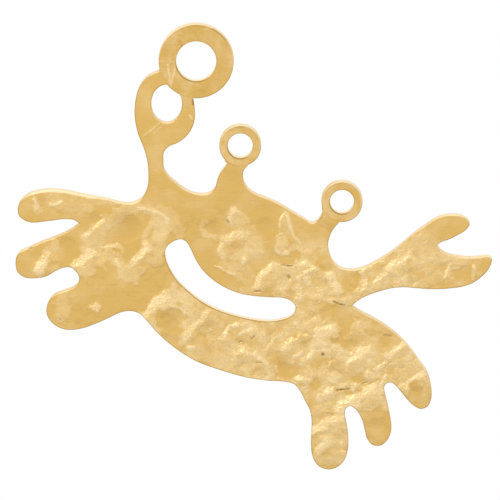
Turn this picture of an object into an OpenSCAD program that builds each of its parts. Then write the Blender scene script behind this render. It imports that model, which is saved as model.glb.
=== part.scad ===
// Crab charm: a hammered brass plate, with three washers soldered to its eye stalk and its back.
// It is drawn lying flat with its hammered face up, and then stood up as it hangs:
// +X is to the right, +Z is up and the hammered face looks along -Y.
// The origin is the centre of the hanging bore.

/* [Sheet] */
// Thickness of the plate and of the washers
plate_t = 1.2; // [0.9:0.1:1.6]
// Filed edge on the rims and the bores of the washers
edge_break = 0.1; // [0.05:0.01:0.2]
// Width of a solder seam between a washer and its seat
seam_w = 0.08; // [0.05:0.01:0.2]

/* [Hanging ring] */
// Diameter of the hanging ring
hang_ring_d = 7.46; // [6.6:0.01:8.2]
// Diameter of the hanging bore
hang_bore_d = 4; // [3:0.1:4.6]

/* [Eye and stalk] */
// Width of the eye loop
eye_w = 6; // [5.4:0.1:6.6]
// Height of the eye loop
eye_h = 7.64; // [7:0.01:8.4]
// Width of the eye's hole
eye_hole_w = 3.06; // [2.6:0.01:3.4]
// Height of the eye's hole
eye_hole_h = 3.87; // [3.4:0.01:4.2]
// Distance from the hanging ring's rim to the centre of the eye loop
eye_reach = 1.95; // [1.6:0.01:2.4]
// Direction from the hanging bore to the eye, in degrees
eye_dir = 236.7; // [230:0.1:242]
// Width of the stalk at its waist
stalk_w = 1.56; // [1.2:0.01:2]
// Length of the stalk, from the eye loop down to the back
stalk_l = 5; // [4.4:0.1:6]

/* [Body] */
// Width of the body, from the claw's armpit to the pincer's crotch
body_w = 22.2; // [20:0.1:25]
// Height of the body, from its back to its belly
body_h = 18.85; // [17:0.01:21]

/* [Front eye ring] */
// Diameter of the front eye ring
front_ring_d = 4.18; // [3.7:0.01:4.6]
// Diameter of its bore
front_bore_d = 2.5; // [2:0.1:2.8]
// Width of the neck under the front eye ring
front_neck_w = 1.93; // [1.6:0.01:2.3]
// Length of that neck, from its root to the ring's rim
front_neck_l = 2.17; // [1.8:0.01:2.8]
// Direction of that neck, in degrees
front_neck_dir = 78.5; // [72:0.5:84]

/* [Rear eye ring] */
// Diameter of the rear eye ring
rear_ring_d = 4.12; // [3.7:0.01:4.6]
// Diameter of its bore
rear_bore_d = 2.4; // [2:0.1:2.8]
// Width of the neck under the rear eye ring
rear_neck_w = 1.9; // [1.6:0.01:2.2]
// Length of that neck, from its root to the ring's rim
rear_neck_l = 1.52; // [1.2:0.01:2]
// Direction of that neck, in degrees
rear_neck_dir = 55; // [50:0.5:60]

/* [Claw] */
// Length of the top finger
top_finger_l = 6.4; // [5.4:0.1:7.4]
// Width of the top finger
top_finger_w = 3; // [2.6:0.1:3.3]
// Length of the middle finger
middle_finger_l = 6.48; // [5.5:0.01:7.5]
// Width of the middle finger
middle_finger_w = 3.67; // [3.2:0.01:3.9]
// How far the middle finger drops to its tip
middle_finger_drop = 1.53; // [1.2:0.01:1.8]
// Length of the low finger
low_finger_l = 5.77; // [4.8:0.01:6.6]
// Width of the low finger
low_finger_w = 4.28; // [3.8:0.01:4.6]
// How far the low finger drops to its tip
low_finger_drop = 0.82; // [0.6:0.01:1.2]

/* [Pincer] */
// Length of the upper prong
upper_prong_l = 4.4; // [3.8:0.1:5.2]
// Width of the upper prong
upper_prong_w = 2.38; // [2:0.01:2.7]
// How far the upper prong rises to its tip
upper_prong_rise = 0.95; // [0.6:0.01:1.3]
// Length of the lower prong
lower_prong_l = 5.48; // [4.8:0.01:6.4]
// Width of the lower prong
lower_prong_w = 3.16; // [2.8:0.01:3.4]
// How far the lower prong rises to its tip
lower_prong_rise = 0.92; // [0.6:0.01:1.2]

/* [Legs] */
// Length of the front leg
front_leg_l = 6.37; // [5.4:0.01:7.4]
// Width of the front leg
front_leg_w = 3.74; // [3.3:0.01:3.9]
// Length of the middle leg
middle_leg_l = 5.27; // [4.6:0.01:6.2]
// Width of the middle leg
middle_leg_w = 2.7; // [2.4:0.1:2.9]
// How far the middle leg leans to the rear
middle_leg_lean = 0.65; // [0.4:0.01:0.9]
// Length of the rear leg
rear_leg_l = 4.51; // [3.9:0.01:5.4]
// Width of the rear leg
rear_leg_w = 3.16; // [2.8:0.01:3.4]
// How far the rear leg leans to the rear
rear_leg_lean = 2.3; // [2:0.1:2.8]

/* [Mouth slot] */
// Width of the box round the crescent slot
slot_w = 13; // [12:0.1:14]
// Height of that box
slot_h = 8.4; // [7.6:0.1:9]

/* [Hammering] */
// Radius of the hammer's domed face
peen_r = 6; // [5:0.1:9]

/* [Hidden] */
$fn = 96;

// How far a cut runs past the face that it opens
overrun = 0.5;
// Straight steps that draw the curve between two outline points
curve_steps = 4;

// Where the pieces lie

hang_r = hang_ring_d / 2;
front_r = front_ring_d / 2;
rear_r = rear_ring_d / 2;
hang_at = [0, 0];
eye_at = hang_at + polar(hang_r + eye_reach, eye_dir);
// The stalk stands a little to the left of the eye's centre, as a share of the eye's width
stalk_shift_share = -0.15;
stalk_x = eye_at.x + stalk_shift_share * eye_w;
// Where the stalk meets the body, as a share of the body's width from its centre
stalk_foot_share = -0.383;
body_at = [stalk_x - stalk_foot_share * body_w, eye_at.y - eye_h / 2 - stalk_l - body_h / 2];
// Roots of the necks, as shares of the body from its centre
front_neck_root_share = [-0.043, 0.546];
rear_neck_root_share = [0.36, 0.311];
front_neck_root = on_body(front_neck_root_share);
rear_neck_root = on_body(rear_neck_root_share);
front_at = front_neck_root + polar(front_neck_l + front_r, front_neck_dir);
rear_at = rear_neck_root + polar(rear_neck_l + rear_r, rear_neck_dir);

// Outline tables. Each row is a point: a share along, a share across, and 0 where the outline
// has a sharp corner. The points run round the plate with its inside on their left.

// Left side of the eye loop, as shares of its width and height from its centre
eye_left_shares = [[0.17, 0.51], [-0.083, 0.493], [-0.28, 0.42], [-0.42, 0.28], [-0.49, 0.09],
    [-0.495, -0.155], [-0.445, -0.34]];
// Right side of the eye loop, going up
eye_right_shares = [[0.217, -0.453], [0.35, -0.373], [0.45, -0.26], [0.5, -0.113], [0.493, 0.007],
    [0.47, 0.12], [0.417, 0.273]];
// Sides of the stalk, as shares of its width from its axis and of its length from its foot
stalk_left_shares = [[-0.81, 0.99], [-0.564, 0.714], [-0.487, 0.388], [-0.564, 0.143],
    [-0.91, -0.057], [-1.6, -0.163]];
stalk_right_shares = [[0.79, 0.402], [0.526, 0.53], [0.474, 0.714], [0.51, 0.878], [0.77, 0.98]];

// Fingers, from the upper root round the tip to the lower root: shares of the length, and of
// half the width above the axis. The roots are shares of the body.
top_finger_root_share = [-0.716, 0.435];
top_finger_shares = [[0, 0.87], [0.3, 1.13], [0.6, 1.15], [0.85, 0.85], [0.985, 0.22], [0.99, -0.53],
    [0.87, -0.95], [0.53, -0.93], [0.27, -0.8], [0.12, -0.87]];
middle_finger_root_share = [-0.725, 0.208];
middle_finger_shares = [[0.154, 1.2], [0.37, 1.02], [0.6, 0.9], [0.8, 0.74], [0.93, 0.62],
    [0.99, 0.36], [1, 0], [0.97, -0.45], [0.865, -0.83], [0.69, -1.02], [0.525, -1.05],
    [0.37, -0.86], [0.255, -0.79], [0.147, -0.88]];
low_finger_root_share = [-0.617, -0.089];
low_finger_shares = [[0.555, 1], [0.71, 0.9], [0.845, 0.81], [0.945, 0.6], [0.995, 0.32],
    [1.01, 0.04], [0.97, -0.31], [0.86, -0.67], [0.71, -0.92], [0.54, -1.01], [0.33, -0.97],
    [0.12, -0.83], [-0.09, -0.65]];

// Legs, from the front side round the foot to the rear side: shares of the length, and of half
// the width to the rear of the axis
front_leg_root_share = [0.399, -0.651];
front_leg_shares = [[0.02, -1.08], [0.18, -0.97], [0.4, -0.97], [0.64, -0.99], [0.82, -0.87],
    [0.95, -0.56], [1, -0.08], [0.965, 0.4], [0.86, 0.775], [0.69, 0.98], [0.48, 1.01],
    [0.28, 0.935], [0.095, 0.82]];
middle_leg_root_share = [0.59, -0.581];
middle_leg_shares = [[0.36, -1.135], [0.51, -0.93], [0.7, -0.84], [0.867, -0.73], [0.965, -0.465],
    [1, -0.075], [0.973, 0.35], [0.867, 0.785], [0.716, 1.09], [0.54, 1.19], [0.35, 1.15],
    [0.135, 1.07], [-0.05, 0.985]];
rear_leg_root_share = [0.716, -0.419];
rear_leg_shares = [[0.57, -0.83], [0.77, -0.67], [0.91, -0.475], [1, -0.095], [0.953, 0.355],
    [0.8, 0.815], [0.587, 1.17], [0.34, 1.42], [0.113, 1.51]];

// Prongs, from the lower root round the tip to the upper root, as for a finger
lower_prong_root_share = [0.883, 0.073];
lower_prong_shares = [[0, -0.955], [0.237, -1.04], [0.456, -1.06], [0.64, -0.94], [0.8, -0.645],
    [0.92, -0.277], [0.985, 0.168], [0.995, 0.432], [0.94, 0.6], [0.785, 0.66], [0.566, 0.755],
    [0.365, 0.95], [0.2, 1.17], [0.073, 1.48]];
upper_prong_root_share = [0.829, 0.301];
upper_prong_shares = [[0.34, -1.16], [0.545, -1.03], [0.75, -0.81], [0.92, -0.52], [1, -0.11],
    [0.955, 0.31], [0.82, 0.72], [0.625, 0.965], [0.42, 1.08], [0.227, 0.957], [0.023, 0.62]];

// Necks: shares of the way from the root to the ring's centre, and of half the width to the right
front_neck_right_shares = [[0.143, 1.23], [0.288, 0.92], [0.43, 0.855], [0.544, 1.08], [0.7, 1.22]];
front_neck_left_shares = [[0.72, -1.02], [0.583, -1.19], [0.515, -0.955], [0.409, -1.14],
    [0.25, -1.47], [0.07, -1.6]];
rear_neck_right_shares = [[0.068, 1.02], [0.284, 0.94], [0.46, 1], [0.695, 0.77]];
rear_neck_left_shares = [[0.725, -0.74], [0.576, -1.26], [0.403, -0.99], [0.2, -0.92]];

// Stretches of the body between its limbs, as shares of its width and height from its centre
claw_top_shares = [[-0.545, 0.46], [-0.59, 0.475], [-0.645, 0.487]];
upper_finger_crotch_shares = [[-0.728, 0.347, 0]];
lower_finger_crotch_shares = [[-0.7455, 0.09], [-0.73, 0.055], [-0.7365, 0.024]];
belly_shares = [[-0.545, -0.132], [-0.505, -0.124], [-0.464, -0.136], [-0.43, -0.173],
    [-0.378, -0.245], [-0.302, -0.324], [-0.206, -0.397], [-0.095, -0.446], [0.023, -0.486],
    [0.122, -0.504], [0.194, -0.509], [0.239, -0.523], [0.27, -0.57], [0.29, -0.619]];
front_leg_crotch_shares = [[0.473, -0.654], [0.491, -0.64], [0.513, -0.654]];
middle_leg_crotch_shares = [[0.6455, -0.54], [0.655, -0.52], [0.673, -0.513], [0.694, -0.526]];
hip_shares = [[0.806, -0.4], [0.766, -0.332], [0.714, -0.265], [0.655, -0.208], [0.586, -0.158],
    [0.534, -0.126], [0.497, -0.097, 0]];
pincer_bottom_shares = [[0.527, -0.068], [0.563, -0.044], [0.613, -0.022], [0.667, -0.004],
    [0.716, 0.004], [0.77, 0.001], [0.829, -0.005]];
pincer_notch_shares = [[0.88, 0.231, 0]];
arm_top_shares = [[0.779, 0.295], [0.725, 0.24], [0.669, 0.188], [0.608, 0.143], [0.55, 0.109],
    [0.493, 0.097], [0.448, 0.107], [0.414, 0.143], [0.395, 0.195], [0.391, 0.246], [0.401, 0.289]];
back_shares = [[0.322, 0.35], [0.279, 0.376], [0.23, 0.411], [0.18, 0.447], [0.126, 0.478],
    [0.072, 0.503], [0.038, 0.527]];
stalk_bay_shares = [[-0.117, 0.543], [-0.137, 0.516], [-0.171, 0.505], [-0.212, 0.511],
    [-0.255, 0.533], [-0.295, 0.57]];

// Centre of the eye's hole, as shares of the eye loop from its centre
eye_hole_share = [0.03, 0.06];
// Centre of the slot's box, as shares of the body from its centre
slot_centre_share = [-0.05, 0.04];
// Upper and lower edge of the slot, as shares of its box from its centre
slot_upper_shares = [[-0.5, 0.345], [-0.49, 0.405], [-0.46, 0.45], [-0.415, 0.49], [-0.373, 0.5],
    [-0.335, 0.465], [-0.305, 0.385], [-0.265, 0.25], [-0.204, 0.11], [-0.127, 0], [-0.035, -0.09],
    [0.073, -0.157], [0.196, -0.19], [0.312, -0.203], [0.396, -0.208], [0.458, -0.24], [0.5, -0.305]];
slot_lower_shares = [[0.496, -0.39], [0.458, -0.445], [0.396, -0.477], [0.319, -0.497],
    [0.212, -0.487], [0.088, -0.45], [-0.035, -0.395], [-0.158, -0.315], [-0.25, -0.225],
    [-0.342, -0.105], [-0.404, -0.01], [-0.45, 0.095], [-0.483, 0.2], [-0.498, 0.28]];

// Hollows that the hammer left, as shares of the body from its centre, and each one's width as a
// share of the body's width
hollow_shares = [[-0.905, 0.445, 0.08], [-0.78, 0.23, 0.09], [-0.653, 0.366, 0.08],
    [-0.518, 0.325, 0.145], [-0.31, -0.175, 0.126], [-0.14, -0.23, 0.1], [-0.135, 0.317, 0.09],
    [-0.038, 0.203, 0.072], [0.108, 0.333, 0.09], [0.164, 0.172, 0.085], [0.216, 0.063, 0.05],
    [0.198, -0.44, 0.08], [0.513, 0.055, 0.07], [0.455, -0.105, 0.09], [0.428, -0.272, 0.07],
    [0.44, -0.57, 0.06], [0.67, -0.267, 0.065], [0.612, -0.743, 0.08], [0.788, -0.57, 0.07],
    [0.973, 0.36, 0.055], [0.883, 0.106, 0.05], [0.978, 0.084, 0.08]];

function polar(r, angle) = r * [cos(angle), sin(angle)];

// Puts the corner mark of a table's row on the point worked out from it
function marked(point, row) = [point.x, point.y, is_undef(row[2]) ? 1 : row[2]];

function in_box(centre, w, h, rows) =
    [for (row = rows) marked(centre + [w * row.x, h * row.y], row)];

function on_body(share) = body_at + [body_w * share.x, body_h * share.y];

// A limb that reaches sideways and one that reaches down, each along a sloping axis
function side_limb(root, reach, rise, width, rows) =
    [for (row = rows) marked(root + [reach * row.x, rise * row.x + width / 2 * row.y], row)];

function down_limb(root, reach, lean, width, rows) =
    [for (row = rows) marked(root + [lean * row.x + width / 2 * row.y, -reach * row.x], row)];

// A neck that runs from its root to its ring's centre
function neck_side(root, tip, width, rows) =
    let (way = tip - root, across = [way.y, -way.x] / norm(way))
    [for (row = rows) marked(root + way * row.x + across * width / 2 * row.y, row)];

plate_knots = concat(
    in_box(eye_at, eye_w, eye_h, eye_left_shares),
    in_box([stalk_x, eye_at.y - eye_h / 2 - stalk_l], stalk_w, stalk_l, stalk_left_shares),
    in_box(body_at, body_w, body_h, claw_top_shares),
    side_limb(on_body(top_finger_root_share), -top_finger_l, 0, top_finger_w, top_finger_shares),
    in_box(body_at, body_w, body_h, upper_finger_crotch_shares),
    side_limb(on_body(middle_finger_root_share), -middle_finger_l, -middle_finger_drop,
        middle_finger_w, middle_finger_shares),
    in_box(body_at, body_w, body_h, lower_finger_crotch_shares),
    side_limb(on_body(low_finger_root_share), -low_finger_l, -low_finger_drop,
        low_finger_w, low_finger_shares),
    in_box(body_at, body_w, body_h, belly_shares),
    down_limb(on_body(front_leg_root_share), front_leg_l, 0, front_leg_w, front_leg_shares),
    in_box(body_at, body_w, body_h, front_leg_crotch_shares),
    down_limb(on_body(middle_leg_root_share), middle_leg_l, middle_leg_lean,
        middle_leg_w, middle_leg_shares),
    in_box(body_at, body_w, body_h, middle_leg_crotch_shares),
    down_limb(on_body(rear_leg_root_share), rear_leg_l, rear_leg_lean, rear_leg_w, rear_leg_shares),
    in_box(body_at, body_w, body_h, hip_shares),
    in_box(body_at, body_w, body_h, pincer_bottom_shares),
    side_limb(on_body(lower_prong_root_share), lower_prong_l, lower_prong_rise,
        lower_prong_w, lower_prong_shares),
    in_box(body_at, body_w, body_h, pincer_notch_shares),
    side_limb(on_body(upper_prong_root_share), upper_prong_l, upper_prong_rise,
        upper_prong_w, upper_prong_shares),
    in_box(body_at, body_w, body_h, arm_top_shares),
    neck_side(rear_neck_root, rear_at, rear_neck_w, rear_neck_right_shares),
    neck_side(rear_neck_root, rear_at, rear_neck_w, rear_neck_left_shares),
    in_box(body_at, body_w, body_h, back_shares),
    neck_side(front_neck_root, front_at, front_neck_w, front_neck_right_shares),
    neck_side(front_neck_root, front_at, front_neck_w, front_neck_left_shares),
    in_box(body_at, body_w, body_h, stalk_bay_shares),
    in_box([stalk_x, eye_at.y - eye_h / 2 - stalk_l], stalk_w, stalk_l, stalk_right_shares),
    in_box(eye_at, eye_w, eye_h, eye_right_shares));

slot_knots = in_box(on_body(slot_centre_share), slot_w, slot_h,
    concat(slot_upper_shares, slot_lower_shares));

// A smooth closed curve through knots: cubic pieces whose slopes allow for uneven spacing
function knot(knots, i) = let (k = knots[(i + len(knots)) % len(knots)]) [k.x, k.y];
function span(knots, i) = norm(knot(knots, i + 1) - knot(knots, i));
function slope(knots, i) =
    let (before = span(knots, i - 1), after = span(knots, i))
    knots[i % len(knots)][2] * (
        (knot(knots, i + 1) - knot(knots, i)) / after * before
        + (knot(knots, i) - knot(knots, i - 1)) / before * after) / (before + after);
function on_curve(knots, i, t) =
    (2 * pow(t, 3) - 3 * pow(t, 2) + 1) * knot(knots, i)
    + (pow(t, 3) - 2 * pow(t, 2) + t) * span(knots, i) * slope(knots, i)
    + (3 * pow(t, 2) - 2 * pow(t, 3)) * knot(knots, i + 1)
    + (pow(t, 3) - pow(t, 2)) * span(knots, i) * slope(knots, i + 1);
function curve(knots) =
    [for (i = [0 : len(knots) - 1], step = [0 : curve_steps - 1])
        on_curve(knots, i, step / curve_steps)];

outline = curve(plate_knots);
slot = curve(slot_knots);

// The eye's hole is an upright oval
oval_steps = 48;
eye_hole_at = eye_at + [eye_w * eye_hole_share.x, eye_h * eye_hole_share.y];
eye_hole = [for (i = [0 : oval_steps - 1])
    let (angle = 360 * i / oval_steps)
    eye_hole_at + [eye_hole_w / 2 * cos(angle), eye_hole_h / 2 * sin(angle)]];

// Stands up what is drawn lying flat, with its faces at equal distances from the XZ plane
module stand_up() {
    rotate([90, 0, 0]) translate([0, 0, -plate_t / 2]) children();
}

// A washer whose four edges are filed, lying flat
module washer(at, rim_d, bore_d) {
    translate([at.x, at.y, 0])
        rotate_extrude()
            polygon([
                [bore_d / 2 + edge_break, 0],
                [rim_d / 2 - edge_break, 0],
                [rim_d / 2, edge_break],
                [rim_d / 2, plate_t - edge_break],
                [rim_d / 2 - edge_break, plate_t],
                [bore_d / 2 + edge_break, plate_t],
                [bore_d / 2, plate_t - edge_break],
                [bore_d / 2, edge_break]]);
}

// The place that a washer and its solder take out of the plate
module seat(at, rim_d) {
    translate([at.x, at.y, -overrun])
        cylinder(d = rim_d + 2 * seam_w, h = plate_t + 2 * overrun);
}

// The sheet as it is sawn out, before the seats are cut
module blank() {
    difference() {
        linear_extrude(plate_t) polygon(outline);
        for (hole = [eye_hole, slot])
            translate([0, 0, -overrun]) linear_extrude(plate_t + 2 * overrun) polygon(hole);
    }
}

// The hammer's domed face as deep in the sheet as leaves a hollow of the stated width
module hammer_blow(at, width) {
    depth = peen_r - sqrt(pow(peen_r, 2) - pow(width / 2, 2));
    translate([at.x, at.y, plate_t])
        intersection() {
            translate([0, 0, peen_r - depth]) sphere(peen_r);
            translate([0, 0, -overrun]) cylinder(d = width + overrun / 2, h = 2 * overrun);
        }
}

module crab_plate() {
    color("goldenrod")
    stand_up()
        difference() {
            blank();
            for (row = hollow_shares) hammer_blow(on_body(row), body_w * row[2]);
            seat(hang_at, hang_ring_d);
            seat(front_at, front_ring_d);
            seat(rear_at, rear_ring_d);
        }
}

module hanging_ring() {
    color("darkgoldenrod") stand_up() washer(hang_at, hang_ring_d, hang_bore_d);
}

module front_eye_ring() {
    color("darkgoldenrod") stand_up() washer(front_at, front_ring_d, front_bore_d);
}

module rear_eye_ring() {
    color("darkgoldenrod") stand_up() washer(rear_at, rear_ring_d, rear_bore_d);
}

// One seam fills the gap between a washer and the blank, as deep as the washer's straight rim
module seam(at, rim_d) {
    intersection() {
        translate([at.x, at.y, edge_break])
            difference() {
                cylinder(d = rim_d + 2 * seam_w, h = plate_t - 2 * edge_break);
                translate([0, 0, -overrun]) cylinder(d = rim_d, h = plate_t + 2 * overrun);
            }
        blank();
    }
}

module solder_seams() {
    color("silver")
    stand_up() {
        seam(hang_at, hang_ring_d);
        seam(front_at, front_ring_d);
        seam(rear_at, rear_ring_d);
    }
}

crab_plate();
hanging_ring();
front_eye_ring();
rear_eye_ring();
solder_seams();
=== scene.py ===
"""Crab charm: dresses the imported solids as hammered, gold-toned brass and sets the studio."""

import math
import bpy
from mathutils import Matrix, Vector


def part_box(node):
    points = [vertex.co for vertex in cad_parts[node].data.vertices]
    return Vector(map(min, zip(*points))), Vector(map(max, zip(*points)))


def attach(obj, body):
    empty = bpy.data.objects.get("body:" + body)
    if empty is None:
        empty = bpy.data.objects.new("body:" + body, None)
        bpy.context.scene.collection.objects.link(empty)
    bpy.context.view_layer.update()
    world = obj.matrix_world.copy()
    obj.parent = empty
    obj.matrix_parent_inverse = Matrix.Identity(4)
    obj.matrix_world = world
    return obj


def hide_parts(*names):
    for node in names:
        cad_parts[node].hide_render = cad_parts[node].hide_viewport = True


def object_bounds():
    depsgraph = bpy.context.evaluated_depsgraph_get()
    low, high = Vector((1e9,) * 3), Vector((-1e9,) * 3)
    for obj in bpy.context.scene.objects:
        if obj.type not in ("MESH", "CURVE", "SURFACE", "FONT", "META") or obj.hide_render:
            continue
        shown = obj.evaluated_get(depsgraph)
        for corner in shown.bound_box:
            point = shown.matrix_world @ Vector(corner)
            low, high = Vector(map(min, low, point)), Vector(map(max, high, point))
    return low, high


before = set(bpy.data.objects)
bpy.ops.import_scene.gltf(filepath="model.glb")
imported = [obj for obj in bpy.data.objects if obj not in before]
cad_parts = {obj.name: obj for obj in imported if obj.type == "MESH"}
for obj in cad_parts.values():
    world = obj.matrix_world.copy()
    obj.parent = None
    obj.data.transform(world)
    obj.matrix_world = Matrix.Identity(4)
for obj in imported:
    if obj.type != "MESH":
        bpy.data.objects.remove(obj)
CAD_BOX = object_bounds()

from types import SimpleNamespace

import bmesh
import bpy
import numpy as np
from mathutils import Vector, geometry, kdtree, noise
from mathutils.bvhtree import BVHTree

bl_info = {
    "name": "Crab Charm",
    "version": (1, 0, 0),
    "blender": (4, 5, 0),
    "location": "View3D > Sidebar > Crab Charm",
    "description": "Builds a hammered brass crab charm and its studio",
    "category": "Object",
}

# Lengths are in millimetres unless a comment says otherwise, and MM turns them into the scene's metres
MM = 0.001
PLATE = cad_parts["crab_plate"]
RINGS = ("hanging_ring", "front_eye_ring", "rear_eye_ring")
HALF_SHEET = CAD_BOX[1].y / MM
CAMERA_ELEVATION = math.radians(11)
# The way that the brightest edges face, to the right and up: edges that face it are filed wider and get a
# painted highlight, and the others a painted shade line
LIT_RIGHT, LIT_UP = 0.35, 0.94

# How finely the meshes follow the shapes: steps, rows of points just inside the edges, rows in the walls
OUTLINE_STEP = 0.1
FINE_OUTLINE_STEP = 0.03
GRID_ROW_SHARE = 0.866
FRONT_INSETS = (0.03, 0.065, 0.11, 0.17)
BACK_INSETS = (0.05, 0.12)
BACK_STEP_SHARE = 3.0
WALL_ROWS = 7
RING_WALL_LEVELS = 7
RING_FACE_STEP = 0.06
SEAM_STEP = 0.08
# Corners that turn by more than this look sharp
SHARP_ANGLE = math.radians(52)

# The plate: least depth of its front, gap round a washer, depth of the blade's marks on its sides
# and of the waves in its back
LEAST_DEPTH = 0.004
SEAT_GAP = 0.08
BLADE_MARK = 0.014
BACK_WAVE = 0.012
# The washers' rims and bores are rounded by this much
RIM_ROUND = 0.08
BORE_ROUND = 0.05
# Solder across a seam, from the washer's side to the plate's: distance from the rim, depth below the front
SEAM_SECTION = ((-0.15, 0.004), (-0.05, 0.002), (0.04, 0.003), (0.10, 0.006))
SOLDER_LUMP = 0.0015

# Depth of the plain front, what the hammer took off it, and the depth of fine grain
PLAIN_DEPTH = 0.05
BEATEN_DEPTH = 0.14
GRAIN_DEPTH = 0.011
# Noise that bends the drawn marks, with one seed to the side and one up, and noise that varies their width:
# size of the blobs, then seeds
SLOW_BEND = (0.9, 5.3, 9.1)
QUICK_BEND = (0.35, 15.3, 19.1)
MARK_WIDTHS = (0.6, 33.3)
# Noise in the ground and its tone: size of the blobs, seed
SWELL = (0.75, 13.3)
WAVE = (1.3, 11.3)
LONG_WAVE = (2.2, 41.9)
GRAIN = (0.15, 17.7)
SPECKLE = (0.18, 27.7)
TONE_PATCHES = (1.5, 37.7)
BACK_WAVES = (2.6, 51.0)
# Noise on the washers: depth of the waves or strength of the tone, size of the blobs, first seed
RING_WAVES = ((0.010, 1.3, 71.0), (0.003, 0.4, 81.0))
RING_TONES = ((0.38, 1.4, 91.0), (0.22, 0.4, 95.0))
# Small hammer marks: size, seed
COARSE_FACETS = (1.35, 3)
FINE_FACETS = (0.45, 8)
# From the first slope on, brass is rubbed pale, and at the second it is fully so
RUBBED_SLOPES = (0.12, 0.30)
# Smooth patches that reach further than this also lie higher than the beaten ground
WIDE_PATCH = 2.5
# How strong the painted highlight on a streak is for each millimetre of its height
STREAK_HIGHLIGHT = 26.0

# The studio, in metres: the middle of the picture, then the section of the round table top
MIDDLE = Vector((5.35 * MM, 0, -19.2 * MM))
TABLE_PROFILE = ((0.0, 0.0), (0.286, 0.0), (0.292, -0.002), (0.295, -0.006), (0.295, -0.02), (0.0, -0.02))
# Lamps: name, place from the middle of the picture and width in metres, power in watts
LAMPS = (
    ("key", (-0.27, -0.38, 0.29), 0.32, 0.60),
    ("top", (0.0, 0.10, 0.45), 0.50, 0.45),
)
# The camera: its distance and the width that it sees there in metres, its sensor's width in millimetres
CAMERA_DISTANCE = 0.6
VIEW_WIDTH = 0.05
SENSOR_WIDTH = 36.0

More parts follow.
